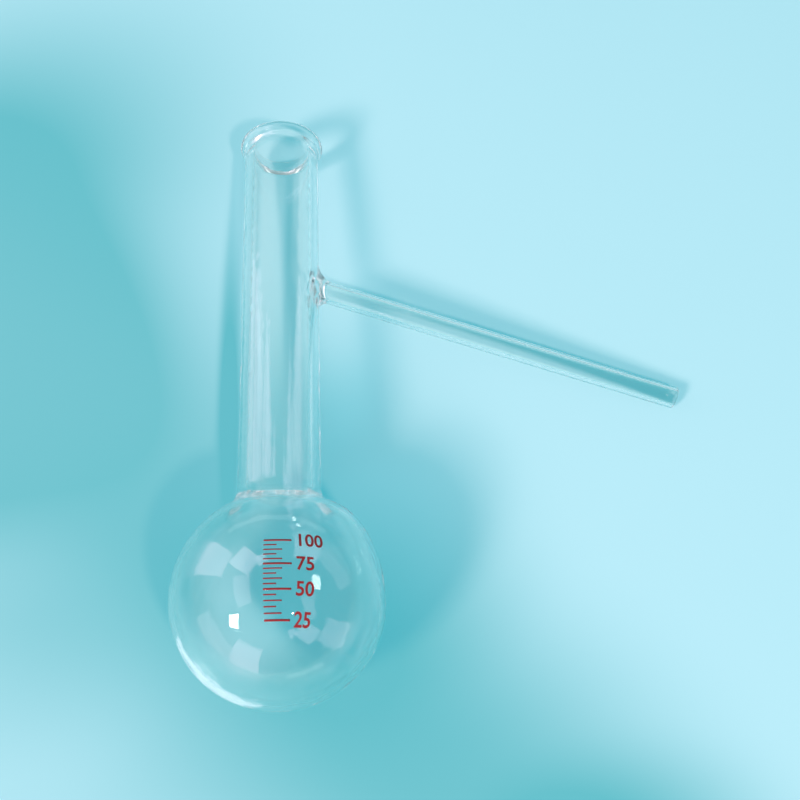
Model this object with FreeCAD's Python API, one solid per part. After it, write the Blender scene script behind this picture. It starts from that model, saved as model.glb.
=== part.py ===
import FreeCAD, Part
import math
import os

# Distilling flask of clear borosilicate glass, 125 ml, lying as it comes to rest.
#
# The flask is one blown and fused piece: a round bulb, a heavy-walled straight neck that ends in a
# beaded, fire-polished mouth, and a long side tube fused into the neck and sloping back to the bulb.
# It is drawn upright first, with the bulb's centre at the origin, the neck along +Z and the side
# tube over +X. It is then rolled and laid down until the bulb, the mouth's bead and the side tube's
# tip all touch the table. The finished frame has +Z up and the neck running along +Y.

# Driving dimensions, in millimetres and degrees
bulb_diameter = 69.0
bulb_wall = 1.6
neck_diameter = 27.6
neck_bore = 21.0
shoulder_radius = 11.0
shoulder_inner_radius = 10.0
overall_height = 216.0
lip_diameter = 31.0
lip_hollow_radius = 7.0
arm_diameter = 7.9
arm_bore = 5.5
arm_angle = 73.5
arm_height = 120.5
arm_length = 150.0
arm_root_diameter = 8.2
arm_root_length = 21.0
arm_root_radius_above = 8.0
arm_root_radius_below = 3.0
arm_end_bevel = 0.4

# The finest step of the search for the roll, and how near a corner counts as met
roll_search_steps = 60
corner_tolerance = 0.01

bulb_radius = bulb_diameter / 2
bulb_inner_radius = bulb_radius - bulb_wall
neck_radius = neck_diameter / 2
neck_bore_radius = neck_bore / 2
arm_radius = arm_diameter / 2
arm_bore_radius = arm_bore / 2
arm_root_radius = arm_root_diameter / 2
arm_rim_distance = arm_length - arm_end_bevel

# The bead is a round of glass whose inside is tangent to the bore and whose outside gives the
# lip's diameter, so both its radius and the circle that it runs on follow from those two sizes
bead_radius = (lip_diameter - neck_bore) / 4
bead_circle_radius = (lip_diameter + neck_bore) / 4
bead_height = overall_height - bulb_radius - bead_radius

arm_slope = math.radians(arm_angle)
arm_direction = FreeCAD.Vector(math.sin(arm_slope), 0, -math.cos(arm_slope))
arm_upward = FreeCAD.Vector(math.cos(arm_slope), 0, math.sin(arm_slope))
arm_origin = FreeCAD.Vector(0, 0, arm_height)
neck_axis = FreeCAD.Vector(0, 0, 1)


def at(radius, height):
    """A point of the upright flask's half section."""
    return FreeCAD.Vector(radius, 0, height)


def on_circle(centre, radius, towards):
    """The point of a circle of the half section that lies towards another point."""
    direction = towards - centre
    return centre + direction * (radius / direction.Length)


def arc(start, middle, end):
    """The arc through three points, as an edge."""
    return Part.Arc(start, middle, end).toShape()


def short_arc(start, centre, radius, end):
    """The shorter arc round a centre from one point to another, as an edge."""
    return arc(start, on_circle(centre, radius, (start + end) * 0.5), end)


def line(start, end):
    """A straight edge."""
    return Part.LineSegment(start, end).toShape()


def turned(edges, origin, axis, angle=360):
    """The solid that a closed half section sweeps about an axis on its own plane."""
    return Part.Face(Part.Wire(edges)).revolve(origin, axis, angle)


def shoulder(ball_radius, tube_radius, fillet_radius):
    """Where a round of the given radius leaves a ball and meets a tube that stands on it.

    Returns the round's centre, its point on the ball and its point on the tube.
    """
    out = tube_radius + fillet_radius
    centre = at(out, math.sqrt((ball_radius + fillet_radius) ** 2 - out**2))
    on_ball = on_circle(centre, fillet_radius, at(0, 0))
    on_tube = at(tube_radius, centre.z)
    return centre, on_ball, on_tube


def outer_form():
    """The flask's outside as a full solid: bulb, shoulder, neck, hollow under the bead, bead.

    The bead's round runs on over the top and down to the bore, where a flat disc closes the mouth.
    """
    fillet, leaves_ball, meets_neck = shoulder(bulb_radius, neck_radius, shoulder_radius)
    bead = at(bead_circle_radius, bead_height)
    hollow_radius = neck_radius + lip_hollow_radius
    hollow_drop = math.sqrt(
        (lip_hollow_radius + bead_radius) ** 2 - (hollow_radius - bead_circle_radius) ** 2
    )
    hollow = at(hollow_radius, bead_height - hollow_drop)
    leaves_neck = at(neck_radius, hollow.z)
    meets_bead = on_circle(bead, bead_radius, hollow)
    bead_top = at(bead_circle_radius, bead_height + bead_radius)
    bead_side = at(neck_bore_radius, bead_height)
    return turned(
        [
            arc(at(0, -bulb_radius), at(bulb_radius, 0), leaves_ball),
            short_arc(leaves_ball, fillet, shoulder_radius, meets_neck),
            line(meets_neck, leaves_neck),
            short_arc(leaves_neck, hollow, lip_hollow_radius, meets_bead),
            arc(meets_bead, bead_top, bead_side),
            line(bead_side, at(0, bead_height)),
            line(at(0, bead_height), at(0, -bulb_radius)),
        ],
        at(0, 0),
        neck_axis,
    )


def inner_form():
    """The space inside: the bulb's hollow and the bore, up to the disc that closes the mouth."""
    fillet, leaves_ball, meets_bore = shoulder(
        bulb_inner_radius, neck_bore_radius, shoulder_inner_radius
    )
    bead_side = at(neck_bore_radius, bead_height)
    return turned(
        [
            arc(at(0, -bulb_inner_radius), at(bulb_inner_radius, 0), leaves_ball),
            short_arc(leaves_ball, fillet, shoulder_inner_radius, meets_bore),
            line(meets_bore, bead_side),
            line(bead_side, at(0, bead_height)),
            line(at(0, bead_height), at(0, -bulb_inner_radius)),
        ],
        at(0, 0),
        neck_axis,
    )


def beside(radius, distance):
    """A point above the side tube's axis, a distance along it from the neck's axis."""
    return arm_origin + arm_direction * distance + arm_upward * radius


def arm_root():
    """The side tube's thicker root as a full form, in two mirrored halves.

    The halves part in the flask's plane of symmetry, so that the seam where the root enters the neck
    runs from its highest to its lowest corner.
    """
    half = turned(
        [
            line(beside(0, 0), beside(arm_root_radius, 0)),
            line(beside(arm_root_radius, 0), beside(arm_radius, arm_root_length)),
            line(beside(arm_radius, arm_root_length), beside(0, arm_root_length)),
            line(beside(0, arm_root_length), beside(0, 0)),
        ],
        arm_origin,
        arm_direction,
        180,
    )
    return [half, half.mirror(at(0, 0), FreeCAD.Vector(0, 1, 0))]


def arm_bar():
    """The side tube's straight run as a full form, its end bevelled and open down to a disc."""
    edge = beside(arm_radius, arm_rim_distance)
    end = beside(arm_radius - arm_end_bevel, arm_length)
    bore_end = beside(arm_bore_radius + arm_end_bevel, arm_length)
    bore_edge = beside(arm_bore_radius, arm_rim_distance)
    return turned(
        [
            line(beside(0, arm_root_length), beside(arm_radius, arm_root_length)),
            line(beside(arm_radius, arm_root_length), edge),
            line(edge, end),
            line(end, bore_end),
            line(bore_end, bore_edge),
            line(bore_edge, beside(0, arm_rim_distance)),
            line(beside(0, arm_rim_distance), beside(0, arm_root_length)),
        ],
        arm_origin,
        arm_direction,
    )


def root_blended(form):
    """Rounds the corner between neck and side tube, with one radius above and another below."""
    for edge in form.Edges:
        ends = [vertex.Point for vertex in edge.Vertexes]
        in_corner = all(
            abs(end.x - neck_radius) < corner_tolerance and abs(end.y) < corner_tolerance
            for end in ends
        )
        if len(ends) != 2 or not in_corner or abs(edge.CenterOfMass.y) < corner_tolerance:
            continue
        if ends[0].z > ends[1].z:
            return form.makeFillet(arm_root_radius_above, arm_root_radius_below, [edge])
        return form.makeFillet(arm_root_radius_below, arm_root_radius_above, [edge])
    raise ValueError("the side tube doesn't meet the neck")


def upright_flask():
    """The flask upright on its axis, with the bulb's centre at the origin."""
    outside = root_blended(outer_form().fuse([*arm_root(), arm_bar()]).removeSplitter())
    arm_hollow = Part.makeCylinder(
        arm_bore_radius, arm_rim_distance, arm_origin, arm_direction
    )
    glass = outside.cut(inner_form().fuse(arm_hollow)).removeSplitter()
    return glass.Solids[0]


def neck_dip():
    """The angle by which the neck slopes down to the mouth when the bead touches the table.

    The bead's lowest point is as low as the bulb's: height times the sine plus circle times the
    cosine of the dip, plus the bead's own radius, is the bulb's radius.
    """
    reach = math.hypot(bead_height, bead_circle_radius)
    lean = math.atan2(bead_circle_radius, bead_height)
    return math.asin((bulb_radius - bead_radius) / reach) - lean


def tip_depth(roll, dip):
    """How far the side tube's end reaches below the bulb's centre at a roll and dip."""
    down = FreeCAD.Vector(
        math.sin(roll) * math.cos(dip), math.cos(roll) * math.cos(dip), math.sin(dip)
    )
    along = arm_direction.dot(down)
    ring_centre = arm_origin + arm_direction * arm_rim_distance
    return ring_centre.dot(down) + arm_radius * math.sqrt(1 - along**2)


def arm_roll(dip):
    """The roll about the neck's axis at which the side tube's tip touches the table."""
    low = 0.0
    high = math.radians(45)
    for _ in range(roll_search_steps):
        middle = (low + high) / 2
        if tip_depth(middle, dip) < bulb_radius:
            low = middle
        else:
            high = middle
    return (low + high) / 2


def laid_down(shape):
    """Rolls the upright flask, lays it along +Y and puts its box's bottom centre at the origin."""
    dip = neck_dip()
    roll = arm_roll(dip)
    turn = FreeCAD.Rotation(FreeCAD.Vector(1, 0, 0), -90 - math.degrees(dip)).multiply(
        FreeCAD.Rotation(neck_axis, math.degrees(roll))
    )
    lying = shape.copy()
    lying.Placement = FreeCAD.Placement(FreeCAD.Vector(0, 0, 0), turn)
    box = lying.optimalBoundingBox(False)
    shift = FreeCAD.Vector(-box.Center.x, -box.Center.y, bulb_radius)
    place = FreeCAD.Placement(shift, turn)
    print("neck dip", math.degrees(dip), "roll", math.degrees(roll))
    print("bulb centre", tuple(place.multVec(FreeCAD.Vector(0, 0, 0))))
    return shape.transformed(place.toMatrix(), copy=True)


def main():
    """Writes the flask's STEP file."""
    os.makedirs("parts", exist_ok=True)
    flask = laid_down(upright_flask())
    print("flask", flask.isValid(), "volume", flask.Volume, "box", flask.optimalBoundingBox(False))
    flask.exportStep("parts/flask.step")


main()
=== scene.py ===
"""Distilling flask of clear borosilicate glass, 125 ml, lying on a pale sheet.

The solid from the CAD frame is dressed with one smooth glass piece: bulb, neck, beaded mouth and
side tube are a single closed skin, outside and inside, so light bends through the real wall. A
small fired-enamel scale of plain numbers sits on the side of the bulb that faces the camera.

Lengths are in millimetres until a mesh is made, and meshes are in metres.
"""

import logging
import math
from dataclasses import dataclass, field
from enum import Enum

import bmesh
import bpy
import numpy as np
from mathutils import Matrix, Vector


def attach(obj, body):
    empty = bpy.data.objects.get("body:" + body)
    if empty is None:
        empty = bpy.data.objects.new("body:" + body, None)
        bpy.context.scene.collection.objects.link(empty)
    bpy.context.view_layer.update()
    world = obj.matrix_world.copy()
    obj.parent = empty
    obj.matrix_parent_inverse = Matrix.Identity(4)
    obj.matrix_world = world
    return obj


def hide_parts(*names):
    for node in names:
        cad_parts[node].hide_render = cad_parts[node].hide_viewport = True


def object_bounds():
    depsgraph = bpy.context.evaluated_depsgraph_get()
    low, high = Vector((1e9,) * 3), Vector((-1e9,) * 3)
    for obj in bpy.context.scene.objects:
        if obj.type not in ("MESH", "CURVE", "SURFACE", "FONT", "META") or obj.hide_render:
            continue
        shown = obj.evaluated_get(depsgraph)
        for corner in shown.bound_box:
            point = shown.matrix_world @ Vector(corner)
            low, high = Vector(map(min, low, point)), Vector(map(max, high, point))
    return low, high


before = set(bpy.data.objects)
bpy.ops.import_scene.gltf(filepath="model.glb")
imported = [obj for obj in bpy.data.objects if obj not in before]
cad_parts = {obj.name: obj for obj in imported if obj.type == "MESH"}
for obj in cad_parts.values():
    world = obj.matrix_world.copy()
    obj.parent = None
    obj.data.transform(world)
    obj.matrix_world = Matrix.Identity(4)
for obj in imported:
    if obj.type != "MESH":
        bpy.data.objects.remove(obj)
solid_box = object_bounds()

log = logging.getLogger("distilling_flask")

MILLIMETRE = 0.001
# a millilitre in cubic millimetres
MILLILITRE = 1000.0
# halvings that find the roll to the last digit that a number holds
HALVINGS = 60
# how near two corners of a letter are one corner, in millimetres
WELD = 1e-4
# daylight and wall light as the glass mirrors them, and how far off the near windows stand
DAYLIGHT = "#FFD7E7"
WALL_LIGHT = "#FFE6EE"
NEAR = 620.0
# how often light may be turned in the glass, and how many clear surfaces a shadow may pass
BOUNCES = 128
CLEAR_SURFACES = 64
# settings of a node that mixes colours, and of one that eases a share in and out
COLOURS = {"data_type": "RGBA"}
EASED = {"interpolation_type": "SMOOTHSTEP"}


def linear(colour: str) -> tuple[float, float, float, float]:
    """Turns an sRGB hex colour into linear red, green, blue and full alpha.

    Args:
        colour: Six hex digits after a hash.

    Returns:
        Four numbers from 0 to 1.
    """
    shades = [int(colour[i : i + 2], 16) / 255 for i in (1, 3, 5)]
    lit = [s / 12.92 if s <= 0.04045 else ((s + 0.055) / 1.055) ** 2.4 for s in shades]
    return (lit[0], lit[1], lit[2], 1.0)


def add_node(
    tree: bpy.types.NodeTree, kind: str, settings: dict | None = None, inputs: dict | None = None
) -> bpy.types.Node:
    """Adds a node with its settings, and gives each named input its value or its link.

    Args:
        tree: The node tree that gets the node.
        kind: The node's type name.
        settings: Properties of the node.
        inputs: Input names or numbers, each with a plain value or an output to link.

    Returns:
        The new node.
    """
    node = tree.nodes.new(kind)
    for name, value in (settings or {}).items():
        setattr(node, name, value)
    for name, value in (inputs or {}).items():
        if isinstance(value, bpy.types.NodeSocket):
            tree.links.new(value, node.inputs[name])
        else:
            node.inputs[name].default_value = value
    return node


def emptied(owner: bpy.types.Material | bpy.types.World) -> bpy.types.NodeTree:
    """Turns on the nodes of a material or world, clears them and returns their tree."""
    owner.use_nodes = True
    owner.node_tree.nodes.clear()
    return owner.node_tree


def put(name: str, data: bpy.types.ID) -> bpy.types.Object:
    """Puts a mesh, lamp, curve or camera into the scene as an object at the origin."""
    piece = bpy.data.objects.new(name, data)
    bpy.context.scene.collection.objects.link(piece)
    return piece


def arc(
    centre: tuple[float, float], radius: float, start: float, end: float, steps: int
) -> np.ndarray:
    """Points of a circle in a half section.

    Formula: the centre, plus the radius times the cosine and sine of evenly spaced angles.

    Args:
        centre: Distance from the axis, and height.
        radius: The circle's radius.
        start: First angle, in radians.
        end: Last angle, in radians.
        steps: How many stretches the arc is cut into.

    Returns:
        One row for each point, with its distance from the axis and its height.
    """
    angles = np.linspace(start, end, steps + 1)
    return np.stack(
        [centre[0] + radius * np.cos(angles), centre[1] + radius * np.sin(angles)], axis=1
    )


def upright(radius: float, heights: np.ndarray) -> np.ndarray:
    """Points of a straight wall in a half section: one distance from the axis, many heights."""
    return np.stack([np.full(len(heights), radius), heights], axis=1)


def eased(share: np.ndarray) -> np.ndarray:
    """A share from 0 to 1 with level ends: three times its square less twice its cube."""
    share = np.clip(share, 0.0, 1.0)
    return share * share * (3 - 2 * share)


@dataclass(frozen=True)
class FlaskSizes:
    """The flask's sizes, the same as the solid's, in millimetres and degrees."""

    bulb_diameter: float = 69.0
    bulb_wall: float = 1.6
    neck_diameter: float = 27.6
    neck_bore: float = 21.0
    shoulder_radius: float = 11.0
    shoulder_inner_radius: float = 10.0
    overall_height: float = 216.0
    lip_diameter: float = 31.0
    lip_hollow_radius: float = 7.0
    arm_diameter: float = 7.9
    arm_bore: float = 5.5
    arm_angle: float = 73.5
    arm_height: float = 120.5
    arm_length: float = 150.0
    arm_root_radius_above: float = 8.0
    arm_root_radius_below: float = 3.0
    arm_bore_root_radius: float = 1.5
    arm_end_bevel: float = 0.4

    @property
    def bulb_radius(self) -> float:
        """Outer radius of the bulb."""
        return self.bulb_diameter / 2

    @property
    def bead_radius(self) -> float:
        """Radius of the round of glass at the mouth, tangent to the bore and to the lip's size."""
        return (self.lip_diameter - self.neck_bore) / 4

    @property
    def bead_circle(self) -> float:
        """Radius of the circle that the mouth's bead runs on."""
        return (self.lip_diameter + self.neck_bore) / 4

    @property
    def bead_height(self) -> float:
        """Height of the bead's middle above the bulb's centre."""
        return self.overall_height - self.bulb_radius - self.bead_radius

    @property
    def arm_direction(self) -> np.ndarray:
        """The way that the side tube leaves the neck."""
        slope = math.radians(self.arm_angle)
        return np.array([math.sin(slope), 0.0, -math.cos(slope)])

    @property
    def arm_upward(self) -> np.ndarray:
        """The way up from the side tube's axis, square to it."""
        slope = math.radians(self.arm_angle)
        return np.array([math.cos(slope), 0.0, math.sin(slope)])


@dataclass(frozen=True)
class Lying:
    """How the upright flask is rolled and laid down, the same as in the solid."""

    sizes: FlaskSizes
    low_corner: tuple[float, float, float]

    def dip(self) -> float:
        """The angle, in radians, by which the neck slopes down until the bead touches the table."""
        sizes = self.sizes
        reach = math.hypot(sizes.bead_height, sizes.bead_circle)
        lean = math.atan2(sizes.bead_circle, sizes.bead_height)
        return math.asin((sizes.bulb_radius - sizes.bead_radius) / reach) - lean

    def depth(self, roll: float) -> float:
        """How far the side tube's end reaches below the bulb's centre.

        Args:
            roll: The turn about the neck's axis, in radians.

        Returns:
            The depth in millimetres.
        """
        sizes = self.sizes
        dip = self.dip()
        down = np.array(
            [math.sin(roll) * math.cos(dip), math.cos(roll) * math.cos(dip), math.sin(dip)]
        )
        reach = sizes.arm_direction * (sizes.arm_length - sizes.arm_end_bevel)
        ring = np.array([0.0, 0.0, sizes.arm_height]) + reach
        along = float(sizes.arm_direction @ down)
        return float(ring @ down) + sizes.arm_diameter / 2 * math.sqrt(1 - along**2)

    def roll(self) -> float:
        """The turn, in radians, at which the side tube's end touches the table, by halving."""
        low, high = 0.0, math.radians(45)
        for _ in range(HALVINGS):
            middle = (low + high) / 2
            if self.depth(middle) < self.sizes.bulb_radius:
                low = middle
            else:
                high = middle
        return (low + high) / 2

    def turn(self) -> np.ndarray:
        """The 3 by 3 turn: the roll about the neck's axis, then a quarter turn and the dip."""
        lay = Matrix.Rotation(-math.pi / 2 - self.dip(), 3, "X")
        return np.array(lay @ Matrix.Rotation(self.roll(), 3, "Z"))

    def bulb_centre(self) -> np.ndarray:
        """The bulb's centre: it touches the table and the box's low X and low Y sides."""
        radius = self.sizes.bulb_radius
        corner = np.array(self.low_corner) / MILLIMETRE
        return np.array([corner[0] + radius, corner[1] + radius, radius])

    def place(self, points: np.ndarray) -> np.ndarray:
        """Moves points from the upright flask to the row's frame.

        Formula: the turn times the point, plus the bulb's centre, in metres.

        Args:
            points: Points in millimetres, with three numbers in the last axis.

        Returns:
            The same points in metres.
        """
        return (points @ self.turn().T + self.bulb_centre()) * MILLIMETRE


class Skin:
    """Gathers grids of points into one welded mesh."""

    def __init__(self) -> None:
        """Starts with no points."""
        self.points: list[np.ndarray] = []
        self.quads: list[np.ndarray] = []
        self.count = 0

    def add(self, grid: np.ndarray, left_out: np.ndarray | None = None, flip: bool = False) -> None:
        """Adds a grid of points that closes on itself along its second axis.

        Args:
            grid: Rows by columns by three.
            left_out: True for each face that isn't made, rows less one by columns.
            flip: Whether faces look the other way.
        """
        rows, columns = grid.shape[:2]
        index = np.arange(rows * columns).reshape(rows, columns) + self.count
        after = np.roll(index, -1, axis=1)
        corners = [index[:-1], after[:-1], after[1:], index[1:]]
        quads = np.stack(corners[::-1] if flip else corners, axis=-1)
        if left_out is not None:
            quads = quads[~left_out]
        self.points.append(grid.reshape(-1, 3))
        self.quads.append(quads.reshape(-1, 4))
        self.count += rows * columns

    def mesh(self, name: str, lying: Lying) -> bpy.types.Mesh:
        """Welds the grids where they meet and makes the mesh in the row's frame.

        Points that agree to a ten-thousandth of a millimetre become one. A face that loses a corner
        at a pole becomes a triangle.

        Args:
            name: The mesh's name.
            lying: The place of the upright flask in the row's frame.

        Returns:
            The new mesh, smooth all over.
        """
        points = np.concatenate(self.points)
        _, first, welded = np.unique(
            np.round(points, 4), axis=0, return_index=True, return_inverse=True
        )
        used, quads = np.unique(
            welded.reshape(-1)[np.concatenate(self.quads)], return_inverse=True
        )
        quads = quads.reshape(-1, 4)
        same = quads == np.roll(quads, -1, axis=1)
        lost = same.any(axis=1)
        corner = np.argmax(same[lost], axis=1)
        keep = (corner[:, None] + np.arange(1, 4)) % 4
        triangles = np.take_along_axis(quads[lost], keep, axis=1)
        mesh = bpy.data.meshes.new(name)
        faces = quads[~lost].tolist() + triangles.tolist()
        mesh.from_pydata(lying.place(points[first[used]]).tolist(), [], faces)
        mesh.polygons.foreach_set("use_smooth", np.ones(len(mesh.polygons), dtype=bool))
        mesh.update()
        return mesh


@dataclass(frozen=True)
class Corner:
    """The rounded corner where a thin tube's form stands on the side of a thick one.

    The same rule serves the glass outside and the hollow inside: only the radii differ.
    """

    sizes: FlaskSizes
    trunk: float
    branch: float
    above: float
    below: float

    def on_branch(self, turn: np.ndarray, along: np.ndarray, radius: np.ndarray) -> np.ndarray:
        """Points of the thin tube.

        Formula: the tube's start, plus the distance along its axis, plus the radius times the
        cosine of the turn upwards and its sine sideways.

        Args:
            turn: Angle round the tube from its top, in radians.
            along: Distance from the neck's axis.
            radius: Distance from the tube's axis.

        Returns:
            The points, with three numbers in the last axis.
        """
        start = np.array([0.0, 0.0, self.sizes.arm_height])
        aside = np.array([0.0, 1.0, 0.0])
        return (
            start
            + along[..., None] * self.sizes.arm_direction
            + (radius * np.cos(turn))[..., None] * self.sizes.arm_upward
            + (radius * np.sin(turn))[..., None] * aside
        )

    def on_trunk(self, angle: np.ndarray, height: np.ndarray) -> np.ndarray:
        """Points of the thick tube, at an angle round it and a height on it."""
        return np.stack(
            [self.trunk * np.cos(angle), self.trunk * np.sin(angle), height], axis=-1
        )

    def meeting(self, turn: np.ndarray) -> np.ndarray:
        """How far along the thin tube each of its lines enters the thick one.

        Formula: the square root of the thick radius squared less the sideways reach squared, less
        the upward reach times the slope's cosine, all over the slope's sine.

        Args:
            turn: Angle round the thin tube from its top, in radians.

        Returns:
            Distances from the neck's axis.
        """
        slope = math.radians(self.sizes.arm_angle)
        sideways = self.branch * np.sin(turn)
        upward = self.branch * np.cos(turn)
        reach = np.sqrt(self.trunk**2 - sideways**2) - upward * math.cos(slope)
        return reach / math.sin(slope)

    def rolled_out(self, turn: np.ndarray) -> np.ndarray:
        """The sharp corner on the thick tube's wall rolled out flat: arc length, and height."""
        at = self.on_branch(turn, self.meeting(turn), np.full(turn.shape, self.branch))
        return np.stack([self.trunk * np.arctan2(at[..., 1], at[..., 0]), at[..., 2]], axis=-1)

    def rounding(self, turn: np.ndarray) -> np.ndarray:
        """Radius of the round: the larger above, the smaller below, with a cosine between them."""
        share = (1 + np.cos(turn)) / 2
        return self.below + (self.above - self.below) * share

    def rings(self, turn: np.ndarray, steps: int) -> tuple[np.ndarray, np.ndarray, np.ndarray]:
        """The rounded corner, ring by ring from the thick tube to the thin one.

        Formula: the sharp corner is left by the tangent length on both walls, which is the radius
        over the tangent of half the angle between them. A cubic curve joins the two points, with
        handles that lie in the walls and are as long as a circle's arc needs.

        Args:
            turn: Angles round the thin tube.
            steps: How many stretches the round is cut into.

        Returns:
            The rings as points, the first ring's angle round the thick tube and its height there,
            and the distance along the thin tube of each end.
        """
        sliver = 1e-4
        corner = self.rolled_out(turn)
        run = self.rolled_out(turn + sliver) - self.rolled_out(turn - sliver)
        outward = np.stack([run[:, 1], -run[:, 0]], axis=-1)
        outward /= np.linalg.norm(outward, axis=1)[:, None]
        middle = corner.mean(axis=0)
        outward *= np.sign(((corner - middle) * outward).sum(axis=1))[:, None]

        def in_wall(at: np.ndarray) -> np.ndarray:
            """The outward direction, laid into the thick tube's wall at rolled-out places."""
            angle = at[:, 0] / self.trunk
            around = np.stack([-np.sin(angle), np.cos(angle), np.zeros_like(angle)], axis=-1)
            return outward[:, :1] * around + outward[:, 1:] * np.array([0.0, 0.0, 1.0])

        cosine = in_wall(corner) @ self.sizes.arm_direction
        half = np.arccos(np.clip(cosine, -1, 1)) / 2
        radius = self.rounding(turn)
        tangent = radius / np.tan(half)
        foot = corner + tangent[:, None] * outward
        start = self.on_trunk(foot[:, 0] / self.trunk, foot[:, 1])
        along = self.meeting(turn) + tangent
        end = self.on_branch(turn, along, np.full(turn.shape, self.branch))
        handle = (4 / 3 * np.tan((math.pi - 2 * half) / 4) * radius)[:, None]
        first = start - handle * in_wall(foot)
        second = end - handle * self.sizes.arm_direction
        t = np.linspace(0, 1, steps + 1)[:, None, None]
        curve = (
            (1 - t) ** 3 * start
            + 3 * t * (1 - t) ** 2 * first
            + 3 * t**2 * (1 - t) * second
            + t**3 * end
        )
        return curve, foot, along


@dataclass(frozen=True)
class Blown:
    """How far hand blowing leaves the bulb from a true ball.

    Each swelling is a direction from the bulb's centre in the row's frame, a height in millimetres
    and a reach in degrees. All of them fade out from a share of the way up to the straight neck.
    """

    swellings: tuple[tuple[tuple[float, float, float], float, float], ...] = (
        ((0.64, 0.71, 0.28), 1.5, 17.0),
        ((0.99, 0.08, 0.03), -0.5, 16.0),
    )
    fade_from: float = 0.72

    def shift(self, points: np.ndarray, turn: np.ndarray, neck_starts: float) -> np.ndarray:
        """Moves points of the bulb in or out along their line from its centre.

        Formula: each swelling's height times a bell of the angle from its direction, faded out
        where the neck begins.

        Args:
            points: Points of the upright flask.
            turn: The turn from the upright flask to the row's frame.
            neck_starts: Height at which the neck is straight.

        Returns:
            The moved points.
        """
        away = np.linalg.norm(points, axis=-1, keepdims=True)
        unit = points / np.maximum(away, 1e-9)
        moved = np.zeros(away.shape)
        for direction, height, reach in self.swellings:
            towards = np.array(direction) / np.linalg.norm(direction) @ turn
            angle = np.degrees(np.arccos(np.clip(unit @ towards, -1, 1)))[..., None]
            moved += height * np.exp(-((angle / reach) ** 2))
        share = (points[..., 2:3] / neck_starts - self.fade_from) / (1 - self.fade_from)
        fade = 1 - eased(share)
        return points + unit * moved * fade


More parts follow.
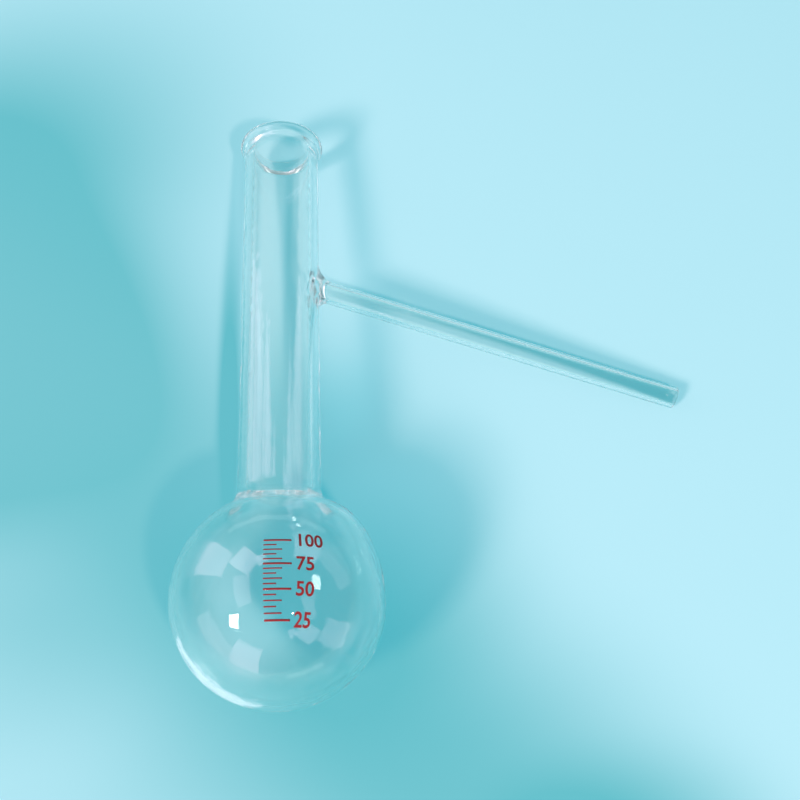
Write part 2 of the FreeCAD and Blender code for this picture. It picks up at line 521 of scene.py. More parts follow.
@dataclass
class GlassFlask:
    """The flask's whole skin: outside, mouth, inside, and the side tube through both.

    A window is the part of the neck's wall, between two heights, that makes way for the side tube.
    The straight rows are the points of the neck's four straight walls: outside below and above the
    window, then inside above and below it.
    """

    sizes: FlaskSizes
    lying: Lying
    blown: Blown = field(default_factory=Blown)
    columns: int = 192
    window_columns: int = 26
    window_rows: int = 32
    outer_window: tuple[float, float] = (102.5, 132.5)
    inner_window: tuple[float, float] = (108.5, 126.5)
    ball_rows: int = 84
    hollow_ball_rows: int = 80
    shoulder_rows: int = 16
    lip_rows: int = 10
    bead_rows: int = 34
    straight_rows: tuple[int, int, int, int] = (17, 13, 15, 19)
    wall_rings: int = 10
    root_rings: int = 14
    inner_root_rings: int = 6
    tube_rings: int = 30
    tip_rings: int = 10

    def shoulder(self, ball: float, tube: float, fillet: float) -> tuple[float, float, float]:
        """Where a round of a radius leaves a ball and meets a tube that stands on it.

        Args:
            ball: Radius of the ball.
            tube: Radius of the tube.
            fillet: Radius of the round.

        Returns:
            The round's centre as distance and height, and the angle at which it leaves the ball.
        """
        out = tube + fillet
        height = math.sqrt((ball + fillet) ** 2 - out**2)
        return out, height, math.atan2(height, out)

    def section(self) -> tuple[np.ndarray, int, int]:
        """The half section, up the outside, over the bead and down the inside.

        Returns:
            The section's points, and the first row of the outer and of the inner window.
        """
        sizes = self.sizes
        neck, bore = sizes.neck_diameter / 2, sizes.neck_bore / 2
        ball, hollow_ball = sizes.bulb_radius, sizes.bulb_radius - sizes.bulb_wall
        out, high, leaves = self.shoulder(ball, neck, sizes.shoulder_radius)
        inner_out, inner_high, inner_leaves = self.shoulder(
            hollow_ball, bore, sizes.shoulder_inner_radius
        )
        bead = (sizes.bead_circle, sizes.bead_height)
        hollow_out = neck + sizes.lip_hollow_radius
        apart = sizes.lip_hollow_radius + sizes.bead_radius
        drop = math.sqrt(apart**2 - (hollow_out - bead[0]) ** 2)
        hollow = (hollow_out, bead[1] - drop)
        to_bead = math.atan2(drop, bead[0] - hollow_out)
        outer_rows = np.linspace(*self.outer_window, self.window_rows + 1)
        inner_rows = np.linspace(*self.inner_window[::-1], self.window_rows + 1)
        low, top, inner_top, inner_low = self.straight_rows
        stretches = [
            arc((0.0, 0.0), ball, -math.pi / 2, leaves, self.ball_rows),
            arc(
                (out, high), sizes.shoulder_radius, math.pi + leaves, math.pi, self.shoulder_rows
            ),
            upright(neck, np.linspace(high, self.outer_window[0], low)),
            upright(neck, outer_rows),
            upright(neck, np.linspace(self.outer_window[1], hollow[1], top)),
            arc(hollow, sizes.lip_hollow_radius, math.pi, to_bead, self.lip_rows),
            arc(bead, sizes.bead_radius, to_bead - math.pi, math.pi, self.bead_rows),
            upright(bore, np.linspace(bead[1], self.inner_window[1], inner_top)),
            upright(bore, inner_rows),
            upright(bore, np.linspace(self.inner_window[0], inner_high, inner_low)),
            arc(
                (inner_out, inner_high),
                sizes.shoulder_inner_radius,
                math.pi,
                math.pi + inner_leaves,
                self.shoulder_rows,
            ),
            arc((0.0, 0.0), hollow_ball, inner_leaves, -math.pi / 2, self.hollow_ball_rows),
        ]
        starts = np.cumsum([0] + [len(s) - 1 for s in stretches])
        rows = np.concatenate([s[:-1] for s in stretches] + [stretches[-1][-1:]])
        rows[0, 0] = rows[-1, 0] = 0.0
        return rows, int(starts[3]), int(starts[8])

    def angles(self) -> np.ndarray:
        """The angles of the columns, with the window's middle at the first."""
        return np.arange(self.columns) * 2 * math.pi / self.columns

    def turned_skin(self, skin: Skin) -> None:
        """Adds the section swept about the neck's axis, less the side tube's two windows.

        Formula: distance times the cosine and sine of each column's angle, and the height.
        """
        rows, outer_start, inner_start = self.section()
        angles = self.angles()
        grid = np.empty((len(rows), self.columns, 3))
        grid[..., 0] = rows[:, :1] * np.cos(angles)
        grid[..., 1] = rows[:, :1] * np.sin(angles)
        grid[..., 2] = rows[:, 1:]
        left_out = np.zeros((len(rows) - 1, self.columns), dtype=bool)
        in_window = np.r_[0 : self.window_columns, -self.window_columns : 0]
        for start in (outer_start, inner_start):
            left_out[start : start + self.window_rows, in_window] = True
        skin.add(grid, left_out)

    def frame_of(self, window: tuple[float, float]) -> np.ndarray:
        """The window's edge from its top middle, turning towards +Y: angle and height.

        Args:
            window: The window's lowest and highest height.

        Returns:
            One row for each point of the edge, without repeating the first.
        """
        step = 2 * math.pi / self.columns
        wide = np.arange(self.window_columns + 1) * step
        tall = np.linspace(*window, self.window_rows + 1)
        half = [
            np.stack([wide, np.full(wide.shape, tall[-1])], axis=1)[:-1],
            np.stack([np.full(tall.shape, wide[-1]), tall[::-1]], axis=1)[:-1],
            np.stack([wide[::-1], np.full(wide.shape, tall[0])], axis=1),
        ]
        right = np.concatenate(half)
        return np.concatenate([right, (right * (-1, 1))[-2:0:-1]])

    def wall_round(self, corner: Corner, edge: np.ndarray, foot: np.ndarray) -> np.ndarray:
        """The thick tube's wall between a window's edge and the corner's foot.

        Formula: on the rolled-out wall each line runs straight from edge to foot, in even steps.

        Args:
            corner: The rounded corner on this wall.
            edge: The window's edge as angle and height.
            foot: The corner's foot as arc length and height.

        Returns:
            Rings of points from the edge to the foot.
        """
        t = np.linspace(0, 1, self.wall_rings + 1)[:, None]
        angle = (1 - t) * edge[:, 0] + t * foot[:, 0] / corner.trunk
        height = (1 - t) * edge[:, 1] + t * foot[:, 1]
        return corner.on_trunk(angle, height)

    def arm_skin(self, skin: Skin) -> None:
        """Adds the side tube as one sheet, from the outer window round its tip to the inner one.

        Formula: rings of the wall, the rounded root, the tube, a half circle over the end's rim,
        then the same inside in the other order.
        """
        sizes = self.sizes
        radius, bore = sizes.arm_diameter / 2, sizes.arm_bore / 2
        outer = Corner(
            sizes,
            sizes.neck_diameter / 2,
            radius,
            sizes.arm_root_radius_above,
            sizes.arm_root_radius_below,
        )
        inner = Corner(
            sizes,
            sizes.neck_bore / 2,
            bore,
            sizes.arm_bore_root_radius,
            sizes.arm_bore_root_radius,
        )
        edge = self.frame_of(self.outer_window)
        inner_edge = self.frame_of(self.inner_window)
        middle = outer.rolled_out(np.array([0.0, math.pi]))[:, 1].mean()
        turn = np.arctan2(edge[:, 0] * outer.trunk, edge[:, 1] - middle)
        curve, foot, along = outer.rings(turn, self.root_rings)
        inner_curve, inner_foot, inner_along = inner.rings(turn, self.inner_root_rings)
        rim = (radius - bore) / 2
        end = sizes.arm_length - rim
        t = np.linspace(0, 1, self.tube_rings + 1)[1:, None]
        tube = outer.on_branch(turn, (1 - t) * along + t * end, np.full(turn.shape, radius))
        over = np.linspace(0, math.pi, self.tip_rings + 1)[1:, None]
        rounded = outer.on_branch(
            turn, end + rim * np.sin(over) * np.ones_like(turn), radius - rim + rim * np.cos(over)
        )
        hollow = outer.on_branch(
            turn, (1 - t) * end + t * inner_along, np.full(turn.shape, bore)
        )
        sheet = np.concatenate(
            [
                self.wall_round(outer, edge, foot),
                curve[1:],
                tube,
                rounded,
                hollow[:-1],
                inner_curve[::-1],
                self.wall_round(inner, inner_edge, inner_foot)[-2::-1],
            ]
        )
        skin.add(sheet, flip=True)

    def build(self) -> bpy.types.Object:
        """Makes the glass piece and puts it in the scene."""
        skin = Skin()
        self.turned_skin(skin)
        self.arm_skin(skin)
        _, neck_starts, _ = self.shoulder(
            self.sizes.bulb_radius, self.sizes.neck_diameter / 2, self.sizes.shoulder_radius
        )
        turn = self.lying.turn()
        skin.points = [self.blown.shift(points, turn, neck_starts) for points in skin.points]
        return put("flask_glass", skin.mesh("flask_glass", self.lying))


@dataclass(frozen=True)
class BorosilicateGlass:
    """Borosilicate glass, blown and fire-polished.

    Flame working leaves a skin without grain, so it is clear, sharp in its reflections and bends
    what lies behind it. Its index is 1.473. Fire polishing leaves faint swells a few millimetres
    long, which break the edges of reflected lights. The low side of the bulb that faces the key
    lamp is met square on and lets its light through, so the sheet shows bright there.

    Each shadow colour is the share of a lamp's light that one surface lets through: first where it
    is met square on, then at its edges. Each span runs from where a colour begins to where it is
    full: along Y in millimetres, for the side tube along X, for the lit side along its own
    direction, whose length counts, and for the edge in how far the surface turns away.
    """

    tint: str = "#FAFEFD"
    index: float = 1.473
    roughness: float = 0.0
    swell_length: float = 6.0
    swell: float = 0.1
    neck_shadow: tuple[str, str] = ("#FFFFFF", "#A8B8BC")
    bulb_shadow: tuple[str, str] = ("#AACCD0", "#586468")
    tube_shadow: tuple[str, str] = ("#9AA2A4", "#70787A")
    bead_shadow: str = "#AEB4B6"
    lit_side: str = "#FFFFFF"
    lit_towards: tuple[float, float, float] = (-0.743, -0.669, -1.0)
    bulb_span: tuple[float, float] = (18.0, -45.0)
    off_bulb_span: tuple[float, float] = (-45.0, 0.0)
    tube_span: tuple[float, float] = (-38.0, -24.0)
    lit_span: tuple[float, float] = (90.5, 94.5)
    bead_span: tuple[float, float] = (98.5, 101.0)
    edge_span: tuple[float, float] = (0.28, 0.62)

    def material(self) -> bpy.types.Material:
        """Makes the material.

        Returns:
            A Principled glass that lets lamps through to what lies behind it, less so at its edges.
        """
        material = bpy.data.materials.new("borosilicate_glass_fire_polished")
        tree = emptied(material)
        place = add_node(tree, "ShaderNodeTexCoord").outputs["Object"]
        swells = add_node(
            tree,
            "ShaderNodeTexNoise",
            inputs={
                "Vector": place,
                "Scale": 1 / (self.swell_length * MILLIMETRE),
                "Detail": 1.0,
                "Roughness": 0.4,
            },
        )
        bump = add_node(
            tree,
            "ShaderNodeBump",
            inputs={"Height": swells.outputs[0], "Strength": self.swell, "Distance": MILLIMETRE},
        )
        glass = add_node(
            tree,
            "ShaderNodeBsdfPrincipled",
            inputs={
                "Base Color": linear(self.tint),
                "Roughness": self.roughness,
                "IOR": self.index,
                "Transmission Weight": 1.0,
                "Normal": bump.outputs["Normal"],
            },
        )
        shadow = self.shadow(tree, place)
        clear = add_node(tree, "ShaderNodeBsdfTransparent", inputs={"Color": shadow})
        path = add_node(tree, "ShaderNodeLightPath")
        surface = add_node(
            tree,
            "ShaderNodeMixShader",
            inputs={0: path.outputs["Is Shadow Ray"], 1: glass.outputs[0], 2: clear.outputs[0]},
        )
        add_node(tree, "ShaderNodeOutputMaterial", inputs={"Surface": surface.outputs[0]})
        return material

    def shadow(
        self, tree: bpy.types.NodeTree, place: bpy.types.NodeSocket
    ) -> bpy.types.NodeSocket:
        """How much of a lamp's light each surface lets through to what lies behind.

        Formula: the neck's colour, changed in turn to the bulb's, the side tube's, the edge's, the
        lit side's and the bead's, each by its eased share of the way along its span.

        Args:
            tree: The node tree that gets the nodes.
            place: The output that holds the place on the piece.

        Returns:
            The output that holds the colour.
        """
        along = add_node(tree, "ShaderNodeSeparateXYZ", inputs={"Vector": place})
        towards_key = add_node(
            tree,
            "ShaderNodeVectorMath",
            {"operation": "DOT_PRODUCT"},
            {0: place, 1: self.lit_towards},
        )
        facing = add_node(tree, "ShaderNodeLayerWeight", inputs={"Blend": 0.5})
        spans = {
            "bulb": (along.outputs["Y"], self.bulb_span, MILLIMETRE),
            "off_bulb": (along.outputs["Y"], self.off_bulb_span, MILLIMETRE),
            "tip": (along.outputs["X"], self.tube_span, MILLIMETRE),
            "lit": (towards_key.outputs["Value"], self.lit_span, MILLIMETRE),
            "bead": (along.outputs["Y"], self.bead_span, MILLIMETRE),
            "edge": (facing.outputs["Facing"], self.edge_span, 1.0),
        }
        share = {}
        for name, (value, (start, full), unit) in spans.items():
            reach = {"Value": value, "From Min": start * unit, "From Max": full * unit}
            share[name] = add_node(tree, "ShaderNodeMapRange", EASED, reach).outputs[0]
        both = {0: share["tip"], 1: share["off_bulb"]}
        share["tube"] = add_node(
            tree, "ShaderNodeMath", {"operation": "MULTIPLY"}, both
        ).outputs[0]
        shades = []
        for neck, bulb, tube in zip(self.neck_shadow, self.bulb_shadow, self.tube_shadow):
            shade = linear(neck)
            for name, colour in (("bulb", bulb), ("tube", tube)):
                blend = {0: share[name], 6: shade, 7: linear(colour)}
                shade = add_node(tree, "ShaderNodeMix", COLOURS, blend).outputs[2]
            shades.append(shade)
        shade, edge = shades
        over = {"edge": edge, "lit": linear(self.lit_side), "bead": linear(self.bead_shadow)}
        for name, colour in over.items():
            blend = {0: share[name], 6: shade, 7: colour}
            shade = add_node(tree, "ShaderNodeMix", COLOURS, blend).outputs[2]
        return shade


@dataclass(frozen=True)
class FiredEnamel:
    """Red glass enamel, screen printed and fired on.

    The fired film is a hard gloss that is a little thicker here and thinner there, so its red is
    uneven over a millimetre or two, and its surface has the screen's faint orange peel.
    """

    full: str = "#8C161C"
    thin: str = "#9C282C"
    roughness: float = 0.28
    index: float = 1.52
    patch_size: float = 1.6
    peel_size: float = 0.35
    peel: float = 0.15
    peel_depth: float = 0.05

    def material(self) -> bpy.types.Material:
        """Makes the material."""
        material = bpy.data.materials.new("screen_printed_red_enamel")
        tree = emptied(material)
        place = add_node(tree, "ShaderNodeTexCoord").outputs["Object"]
        patches = add_node(
            tree,
            "ShaderNodeTexNoise",
            inputs={"Vector": place, "Scale": 1 / (self.patch_size * MILLIMETRE), "Detail": 2.0},
        )
        blend = {0: patches.outputs[0], 6: linear(self.full), 7: linear(self.thin)}
        red = add_node(tree, "ShaderNodeMix", COLOURS, blend)
        grain = add_node(
            tree,
            "ShaderNodeTexNoise",
            inputs={"Vector": place, "Scale": 1 / (self.peel_size * MILLIMETRE)},
        )
        bump = add_node(
            tree,
            "ShaderNodeBump",
            inputs={
                "Height": grain.outputs[0],
                "Strength": self.peel,
                "Distance": self.peel_depth * MILLIMETRE,
            },
        )
        enamel = add_node(
            tree,
            "ShaderNodeBsdfPrincipled",
            inputs={
                "Base Color": red.outputs[2],
                "Roughness": self.roughness,
                "IOR": self.index,
                "Normal": bump.outputs["Normal"],
            },
        )
        add_node(tree, "ShaderNodeOutputMaterial", inputs={"Surface": enamel.outputs[0]})
        return material


@dataclass
class VolumeScale:
    """A scale of plain numbers on the bulb, with a line for each step of volume.

    Each line stands at the height to which that volume fills the bulb when the flask is upright.
    Volumes are in millilitres. The print lies clear of the glass by a hair and is as thick as its
    film.
    """

    sizes: FlaskSizes
    lying: Lying
    blown: Blown
    first: float = 25.0
    last: float = 100.0
    step: float = 5.0
    numbered: float = 25.0
    starts_at: float = -101.5
    long_line: float = 8.4
    middle_line: float = 5.6
    short_line: float = 3.9
    broad: float = 0.6
    narrow: float = 0.4
    clear: float = 0.01
    film: float = 0.05
    number_height: float = 4.0
    number_gap: float = 1.2
    digit_share: float = 0.69
    boldness: float = 0.11
    curve_steps: int = 5
    line_steps: int = 13
    readings: int = 2001

    def heights(self, volumes: np.ndarray) -> np.ndarray:
        """Heights above the bulb's centre to which volumes fill it.

        Formula: a ball filled to a depth holds pi times the depth squared times three radii less
        the depth, over three, and the depth is read back from a fine run of such volumes.

        Args:
            volumes: Volumes in millilitres.

        Returns:
            Heights in millimetres.
        """
        radius = self.sizes.bulb_radius - self.sizes.bulb_wall
        depth = np.linspace(0, 2 * radius, self.readings)
        held = math.pi * depth**2 * (3 * radius - depth) / (3 * MILLILITRE)
        return np.interp(volumes, held, depth) - radius

    def on_bulb(self, across: np.ndarray, height: np.ndarray, proud: np.ndarray) -> np.ndarray:
        """Points on the bulb's outside.

        Formula: the distance across over the bulb's radius is the angle round the neck's axis, and
        the distance from that axis leaves the point as proud of the ball as it should be.

        Args:
            across: Distance to the right of the scale's left edge.
            height: Height above the bulb's centre.
            proud: How far the point stands off the glass.

        Returns:
            Points of the upright flask.
        """
        radius = self.sizes.bulb_radius + self.clear + proud
        angle = math.radians(self.starts_at) + across / self.sizes.bulb_radius
        away = np.sqrt(radius**2 - height**2)
        return np.stack([away * np.cos(angle), away * np.sin(angle), height], axis=-1)

    def lines(self) -> bpy.types.Object:
        """Makes the scale's lines.

        Formula: each line is a flat box section carried along its height's circle, with its ends
        drawn in to a point.
        """
        volumes = np.arange(self.first, self.last + self.step / 2, self.step)
        skin = Skin()
        for volume, height in zip(volumes, self.heights(volumes)):
            whole = volume % self.numbered == 0
            half = volume % (2 * self.step) == 0
            length = self.long_line if whole else self.middle_line if half else self.short_line
            breadth = self.broad if whole else self.narrow
            steps = np.linspace(0, length, self.line_steps)[:, None]
            across, tall, proud = np.broadcast_arrays(
                steps,
                height + breadth / 2 * np.array([-1, 1, 1, -1]),
                self.film * np.array([0, 0, 1, 1]),
            )
            bar = self.on_bulb(across, tall, proud)
            ends = bar[[0, -1]].mean(axis=1, keepdims=True) * np.ones((1, 4, 1))
            skin.add(np.concatenate([ends[:1], bar, ends[1:]]))
        skin.points = [self.blown_out(points) for points in skin.points]
        return put("scale_lines", skin.mesh("scale_lines", self.lying))

    def blown_out(self, points: np.ndarray) -> np.ndarray:
        """Moves points with the bulb's hand-blown swellings."""
        return self.blown.shift(points, self.lying.turn(), self.sizes.bulb_radius)

    def numbers(self) -> bpy.types.Object:
        """Makes the scale's numbers, as thick as the film and bent onto the bulb."""
        volumes = np.arange(self.first, self.last + 1, self.numbered)
        points, faces, count = [], [], 0
        for volume, height in zip(volumes, self.heights(volumes)):
            flat = self.flat_number(f"{volume:.0f}")
            at = np.empty(len(flat.vertices) * 3, dtype=np.float32)
            flat.vertices.foreach_get("co", at)
            at = at.reshape(-1, 3).astype(float)
            across = at[:, 0] + self.long_line + self.number_gap
            points.append(self.on_bulb(across, at[:, 1] + height, at[:, 2]))
            corners = np.empty(len(flat.loops), dtype=np.int32)
            flat.loops.foreach_get("vertex_index", corners)
            sides = np.empty(len(flat.polygons), dtype=np.int32)
            flat.polygons.foreach_get("loop_total", sides)
            faces += [f.tolist() for f in np.split(corners + count, np.cumsum(sides)[:-1])]
            count += len(at)
            bpy.data.meshes.remove(flat)
        placed = self.lying.place(self.blown_out(np.concatenate(points)))
        mesh = bpy.data.meshes.new("scale_numbers")
        mesh.from_pydata(placed.tolist(), [], faces)
        mesh.update()
        return put("scale_numbers", mesh)

    def flat_number(self, words: str) -> bpy.types.Mesh:
        """Makes a number as a flat solid, its middle at height nought and its back at nought.

        Args:
            words: The number's digits.

        Returns:
            A closed mesh in millimetres.
        """
        curve = bpy.data.curves.new("number", "FONT")
        curve.body = words
        curve.size = self.number_height / self.digit_share
        curve.extrude = self.film / 2
        curve.offset = self.boldness
        curve.align_y = "CENTER"
        curve.resolution_u = self.curve_steps
        holder = put("number", curve)
        mesh = bpy.data.meshes.new_from_object(
            holder.evaluated_get(bpy.context.evaluated_depsgraph_get())
        )
        bpy.data.objects.remove(holder)
        bpy.data.curves.remove(curve)
        shell = bmesh.new()
        shell.from_mesh(mesh)
        bmesh.ops.remove_doubles(shell, verts=shell.verts, dist=WELD)
        bmesh.ops.translate(shell, verts=shell.verts, vec=(0.0, 0.0, self.film / 2))
        bmesh.ops.recalc_face_normals(shell, faces=shell.faces)
        shell.to_mesh(mesh)
        shell.free()
        return mesh

    def build(self) -> list[bpy.types.Object]:
        """Makes the scale and dresses it in enamel."""
        enamel = FiredEnamel().material()
        pieces = [self.lines(), self.numbers()]
        for piece in pieces:
            piece.data.materials.append(enamel)
        return pieces


@dataclass(frozen=True)
class PaintedShade:
    """A painted shade or painted light on the sheet: an ellipse that fades from middle to edge.

    Lengths are in millimetres in the row's frame, and the turn is in degrees. An amount above
    nought paints shade, taking sheen away, and one below nought paints light, giving it back.
    """

    centre: tuple[float, float]
    reach: tuple[float, float]
    turn: float
    amount: float


@dataclass
class Sheet:
    """The smooth pale sheet that the flask lies on, with painted shade and light in its sheen."""

    half_width: float = 1500.0
    body: str = "#40B2C3"
    painted_sheen_full: str = "#ACA7A9"
    painted_sheen_least: str = "#4A5246"
    gloss_index: float = 1.45
    gloss_roughness: float = 0.3
    shades: tuple[PaintedShade, ...] = (
        # painted shade of the room, broad and soft over the sheet; the fourth gives some back
        PaintedShade((-232.0, 50.0), (148.0, 260.0), -51.5, 1.6),
        PaintedShade((-122.0, -18.0), (196.0, 125.0), -15.0, 0.9),
        PaintedShade((-12.0, -124.0), (168.0, 102.0), -27.0, 0.94),
        PaintedShade((-183.0, 45.0), (80.0, 129.0), 27.0, -0.68),
        PaintedShade((-140.0, -150.0), (115.0, 75.0), 0.0, 0.34),
        PaintedShade((62.0, -152.0), (75.0, 48.0), 0.0, 0.48),
        # painted shadow: the bulb's shadow made deeper beside it
        PaintedShade((-6.0, -60.0), (62.0, 52.0), 20.0, 0.2),
        # painted light: the sheet made brighter under the bulb's low side
        PaintedShade((-66.0, -78.0), (31.0, 26.0), 0.0, -0.65),
        PaintedShade((-76.0, -57.0), (18.0, 22.0), 0.0, -0.5),
        # painted shadow: the neck's shadow along its left
        PaintedShade((-75.2, 24.0), (6.5, 88.0), 0.0, 0.6),
        # painted shade of the room again, at the left and the low left corner
        PaintedShade((-150.0, 25.0), (88.0, 95.0), 0.0, 0.42),
        PaintedShade((-165.0, -90.0), (80.0, 50.0), 0.0, 0.3),
    )

    def build(self) -> bpy.types.Object:
        """Makes the sheet and its finish."""
        half = self.half_width * MILLIMETRE
        mesh = bpy.data.meshes.new("sheet")
        corners = [(-half, -half, 0), (half, -half, 0), (half, half, 0), (-half, half, 0)]
        mesh.from_pydata(corners, [], [(0, 1, 2, 3)])
        piece = put("sheet", mesh)
        piece.data.materials.append(self.material())
        return piece

    def sheen(self, tree: bpy.types.NodeTree) -> bpy.types.NodeSocket:
        """How much sheen the painted shade and painted light leave at each place of the sheet.

        Formula: one, less each shade's amount times an eased fall from its middle to its edge.

        Args:
            tree: The node tree that gets the nodes.

        Returns:
            The output that holds the share, from 0 to 1.
        """
        place = add_node(tree, "ShaderNodeTexCoord").outputs["Object"]
        share: bpy.types.NodeSocket | float = 1.0
        for shade in self.shades:
            centred = add_node(
                tree,
                "ShaderNodeMapping",
                {"vector_type": "TEXTURE"},
                {
                    "Vector": place,
                    "Location": (shade.centre[0] * MILLIMETRE, shade.centre[1] * MILLIMETRE, 0.0),
                    "Rotation": (0.0, 0.0, math.radians(shade.turn)),
                    "Scale": (shade.reach[0] * MILLIMETRE, shade.reach[1] * MILLIMETRE, 1.0),
                },
            )
            ball = add_node(
                tree,
                "ShaderNodeTexGradient",
                {"gradient_type": "SPHERICAL"},
                {"Vector": centred.outputs[0]},
            )
            fall = add_node(
                tree,
                "ShaderNodeMapRange",
                {"interpolation_type": "SMOOTHERSTEP"},
                {"Value": ball.outputs["Fac"], "To Max": shade.amount},
            )
            share = add_node(
                tree, "ShaderNodeMath", {"operation": "SUBTRACT"}, {0: share, 1: fall.outputs[0]}
            ).outputs[0]
        return add_node(tree, "ShaderNodeClamp", inputs={"Value": share}).outputs[0]

    def material(self) -> bpy.types.Material:
        """Makes the sheet's finish: a dyed body under a pale sheen that a shadow takes away, and
        that painted shade darkens and painted light brightens in places.

        Returns:
            A material that shows its dyed body by itself, takes light on a pale grey over it, and
            is satin at a glance, so that the glass mirrors a whitish sheet low down.
        """
        material = bpy.data.materials.new("dyed_satin_sheet_painted_shade")
        tree = emptied(material)
        # painted shade and painted light: the grey goes from its least to its full by the sheen
        # share
        blend = {0: self.sheen(tree), 6: linear(self.painted_sheen_least), 7: linear(self.painted_sheen_full)}
        grey = add_node(tree, "ShaderNodeMix", COLOURS, blend)
        sheen = add_node(tree, "ShaderNodeBsdfDiffuse", inputs={"Color": grey.outputs[2]})
        body = add_node(
            tree, "ShaderNodeEmission", inputs={"Color": linear(self.body), "Strength": 1.0}
        )
        shown = add_node(
            tree, "ShaderNodeAddShader", inputs={0: sheen.outputs[0], 1: body.outputs[0]}
        )
        gloss = add_node(
            tree, "ShaderNodeBsdfGlossy", inputs={"Roughness": self.gloss_roughness}
        )
        glancing = add_node(tree, "ShaderNodeFresnel", inputs={"IOR": self.gloss_index})
        satin = add_node(
            tree,
            "ShaderNodeMixShader",
            inputs={0: glancing.outputs[0], 1: shown.outputs[0], 2: gloss.outputs[0]},
        )
        add_node(tree, "ShaderNodeOutputMaterial", inputs={"Surface": satin.outputs[0]})
        return material


class Shown(Enum):
    """How a lamp shows in the glass."""

    IN_FULL = "mirrored and bent"
    BENT = "bent only"
    NOT_AT_ALL = "not at all"


def area_lamp(
    name: str, shape: str, size: tuple[float, float], energy: float, colour: str
) -> bpy.types.Object:
    """Makes a flat lamp that no camera ray sees.

    Args:
        name: The lamp's name.
        shape: RECTANGLE or ELLIPSE.
        size: How wide and how tall it is, in metres.
        energy: Its power in watts.
        colour: Its sRGB colour.

    Returns:
        The lamp, at the origin and facing down.
    """
    lamp = bpy.data.lights.new(name, "AREA")
    lamp.shape = shape
    lamp.size, lamp.size_y = size
    lamp.energy = energy
    lamp.color = linear(colour)[:3]
    holder = put(name, lamp)
    holder.visible_camera = False
    return holder


@dataclass(frozen=True)
class SoftBox:
    """A flat lamp or a lit window, given by where it stands as seen from the flask.

    A lamp has a share of the sheet's light. A window has a glow, its brightness beside full white,
    and shows only in mirrored or bent light. Angles are in degrees, and the distance is in
    millimetres.
    """

    name: str
    azimuth: float
    elevation: float
    wide: float
    tall: float
    share: float = 0.0
    glow: float = 0.0
    colour: str = "#FFFFFF"
    turn: float = 0.0
    distance: float = 2500.0
    shown: Shown = Shown.IN_FULL

    def build(self, target: Vector) -> bpy.types.Object:
        """Makes the lamp.

        Formula: a lamp that gives a level white floor this share of full white has a power of the
        share times pi squared times its distance squared, over the sine of its elevation. A window
        has a power of its glow times pi times its area.

        Args:
            target: What it points at, in metres.

        Returns:
            The lamp.
        """
        azimuth, elevation = math.radians(self.azimuth), math.radians(self.elevation)
        away = Vector(
            (
                math.cos(azimuth) * math.cos(elevation),
                math.sin(azimuth) * math.cos(elevation),
                math.sin(elevation),
            )
        )
        distance = self.distance * MILLIMETRE
        wide = 2 * distance * math.tan(math.radians(self.wide) / 2)
        tall = 2 * distance * math.tan(math.radians(self.tall) / 2)
        lit = self.share * math.pi**2 * distance**2 / math.sin(elevation)
        energy = lit + self.glow * math.pi * wide * tall
        holder = area_lamp(self.name, "RECTANGLE", (wide, tall), energy, self.colour)
        holder.location = target + away * distance
        facing = away.to_track_quat("Z", "Y").to_matrix()
        turned = Matrix.Rotation(math.radians(self.turn), 3, "Z")
        holder.rotation_euler = (facing @ turned).to_euler()
        holder.visible_diffuse = self.share > 0
        holder.visible_glossy = self.shown is Shown.IN_FULL
        holder.visible_transmission = self.shown is not Shown.NOT_AT_ALL
        return holder


@dataclass(frozen=True)
class LowCard:
    """A pale card that lies just off the sheet and shows only in mirrored or bent light."""

    centre: tuple[float, float, float] = (-92.0, -111.0, 1.0)
    wide: float = 66.0
    deep: float = 30.0
    turn: float = -45.0
    glow: float = 0.38
    colour: str = WALL_LIGHT

    def build(self) -> bpy.types.Object:
        """Makes the card as a lamp that faces up.

        Formula: its power is its glow times pi times its area.

        Returns:
            The lamp.
        """
        wide, deep = self.wide * MILLIMETRE, self.deep * MILLIMETRE
        energy = self.glow * math.pi * math.pi / 4 * wide * deep
        holder = area_lamp("low_card", "ELLIPSE", (wide, deep), energy, self.colour)
        holder.location = [c * MILLIMETRE for c in self.centre]
        holder.rotation_euler = (math.pi, 0.0, math.radians(self.turn))
        holder.visible_diffuse = False
        return holder


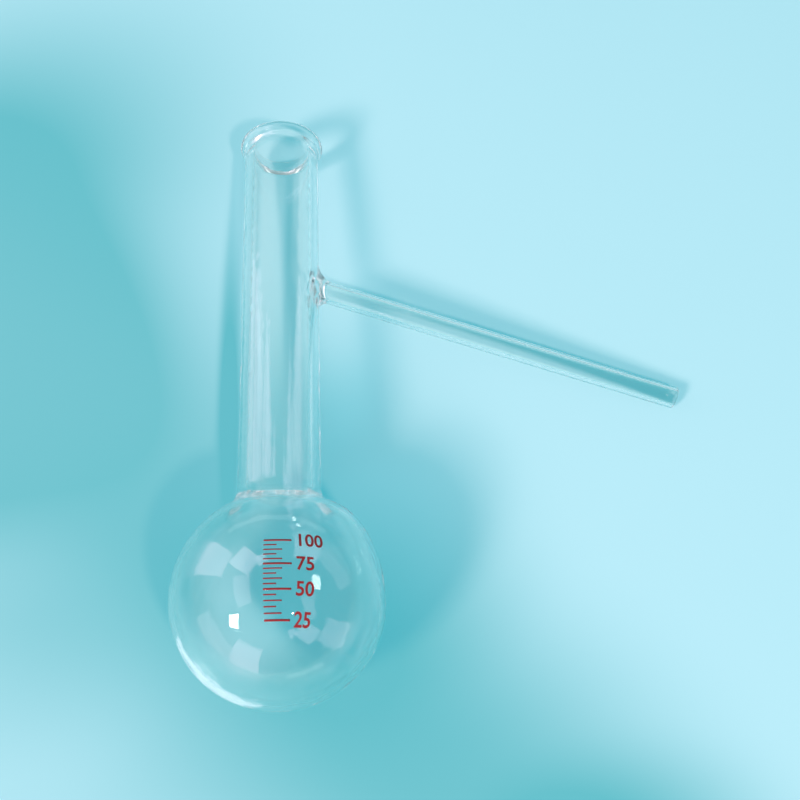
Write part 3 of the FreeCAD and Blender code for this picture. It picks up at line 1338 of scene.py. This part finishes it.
@dataclass
class Studio:
    """Lamps, world and camera."""

    target: tuple[float, float, float] = (-0.045, -0.03, 0.02)
    lamps: tuple[SoftBox, ...] = (
        SoftBox("key", -138.0, 43.0, 10.0, 13.0, share=0.60, shown=Shown.NOT_AT_ALL),
        SoftBox("key_face", -145.0, 38.5, 9.0, 13.0, glow=40.0, turn=45.0),
        SoftBox("second_lamp", -61.0, 53.5, 4.0, 4.0, share=0.43, shown=Shown.NOT_AT_ALL),
        SoftBox("second_face", -55.0, 58.0, 2.2, 1.6, glow=40.0),
        SoftBox("left_wall", 175.0, 35.0, 40.0, 30.0, share=0.05, shown=Shown.NOT_AT_ALL),
        SoftBox("window_back", 153.0, 17.0, 25.0, 38.0, glow=1.7, colour=DAYLIGHT, distance=NEAR),
        SoftBox("window_high", 139.0, 50.0, 19.0, 24.0, glow=2.4, colour=DAYLIGHT, distance=NEAR),
        SoftBox("window_left", 186.0, 58.0, 28.0, 15.0, glow=1.3, colour=DAYLIGHT, distance=NEAR),
        SoftBox("window_top", 116.0, 62.0, 10.0, 10.0, glow=2.4, colour=DAYLIGHT, distance=NEAR),
        SoftBox("window_front", -118.0, 6.0, 25.0, 40.0, glow=2.2, colour=DAYLIGHT),
        SoftBox("far_wall", 90.0, 3.0, 70.0, 7.0, glow=0.9, shown=Shown.BENT),
        SoftBox("low_wall", -150.0, 4.0, 38.0, 28.0, glow=0.9, colour=WALL_LIGHT),
    )
    bright_side: str = "#DCDCE2"
    dim_side: str = "#8FA9AF"
    bright_towards: float = 195.0
    wall_span: tuple[float, float] = (-0.6, 0.9)
    level: str = "#FFFFFF"
    level_strength: float = 0.06
    camera_place: tuple[float, float, float] = (-0.02116, -0.15056, 0.41208)
    camera_target: tuple[float, float, float] = (-0.01295, -0.00188, 0.02)
    camera_lean: float = 1.017
    lens: float = 53.9

    def light(self) -> None:
        """Puts up the lamps and the world.

        The world gives a plain low light, and a ray that is seen, reflected or bent by glass finds
        the pale walls of the room there.
        """
        for box in self.lamps:
            box.build(Vector(self.target))
        LowCard().build()
        world = bpy.data.worlds.new("room")
        bpy.context.scene.world = world
        tree = emptied(world)
        plain = {"Color": linear(self.level), "Strength": self.level_strength}
        level = add_node(tree, "ShaderNodeBackground", inputs=plain)
        look = add_node(tree, "ShaderNodeTexCoord")
        bright_way = math.radians(self.bright_towards)
        sideways = add_node(
            tree,
            "ShaderNodeVectorMath",
            {"operation": "DOT_PRODUCT"},
            {0: look.outputs["Generated"], 1: (math.cos(bright_way), math.sin(bright_way), 0.0)},
        )
        share = add_node(
            tree,
            "ShaderNodeMapRange",
            EASED,
            {
                "Value": sideways.outputs["Value"],
                "From Min": self.wall_span[0],
                "From Max": self.wall_span[1],
            },
        )
        blend = {0: share.outputs[0], 6: linear(self.dim_side), 7: linear(self.bright_side)}
        walls = add_node(tree, "ShaderNodeMix", COLOURS, blend)
        room = add_node(tree, "ShaderNodeBackground", inputs={"Color": walls.outputs[2]})
        path = add_node(tree, "ShaderNodeLightPath")
        seen = path.outputs["Is Camera Ray"]
        for kind in ("Is Glossy Ray", "Is Transmission Ray"):
            seen = add_node(
                tree, "ShaderNodeMath", {"operation": "MAXIMUM"}, {0: seen, 1: path.outputs[kind]}
            ).outputs[0]
        light = add_node(
            tree,
            "ShaderNodeMixShader",
            inputs={0: seen, 1: level.outputs[0], 2: room.outputs[0]},
        )
        add_node(tree, "ShaderNodeOutputWorld", inputs={"Surface": light.outputs[0]})

    def camera(self) -> bpy.types.Object:
        """Makes the scene's camera at the photograph's viewing angle."""
        data = bpy.data.cameras.new("camera")
        data.sensor_width = 36.0
        data.lens = self.lens
        data.clip_start = 0.01
        camera = put("camera", data)
        place, target = Vector(self.camera_place), Vector(self.camera_target)
        aim = (target - place).to_track_quat("-Z", "Y").to_matrix()
        lean = Matrix.Rotation(math.radians(self.camera_lean), 3, "Z")
        camera.rotation_euler = (aim @ lean).to_euler()
        camera.location = place
        bpy.context.scene.camera = camera
        return camera


def main() -> None:
    """Builds the studio and the flask, and reports each piece."""
    logging.basicConfig(level=logging.INFO, format="%(message)s")
    scene = bpy.context.scene
    scene.view_settings.view_transform = "Standard"
    # light is turned round many times in the thick glass at the root, the shoulder and the mouth
    scene.cycles.max_bounces = BOUNCES
    scene.cycles.glossy_bounces = BOUNCES
    scene.cycles.transmission_bounces = BOUNCES
    scene.cycles.transparent_max_bounces = CLEAR_SURFACES
    # the lamps already shine through the glass onto the sheet, so bent light isn't added twice
    scene.cycles.caustics_reflective = False
    scene.cycles.caustics_refractive = False
    studio = Studio()
    studio.light()
    studio.camera()
    Sheet().build()
    sizes = FlaskSizes()
    lying = Lying(sizes, tuple(solid_box[0]))
    flask = GlassFlask(sizes, lying).build()
    flask.data.materials.append(BorosilicateGlass().material())
    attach(flask, "root")
    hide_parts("flask")
    log.info("%s: %d faces", flask.name, len(flask.data.polygons))
    for mark in VolumeScale(sizes, lying, Blown()).build():
        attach(mark, "root")
        log.info("%s: %d faces", mark.name, len(mark.data.polygons))


if __name__ == "__main__":
    main()
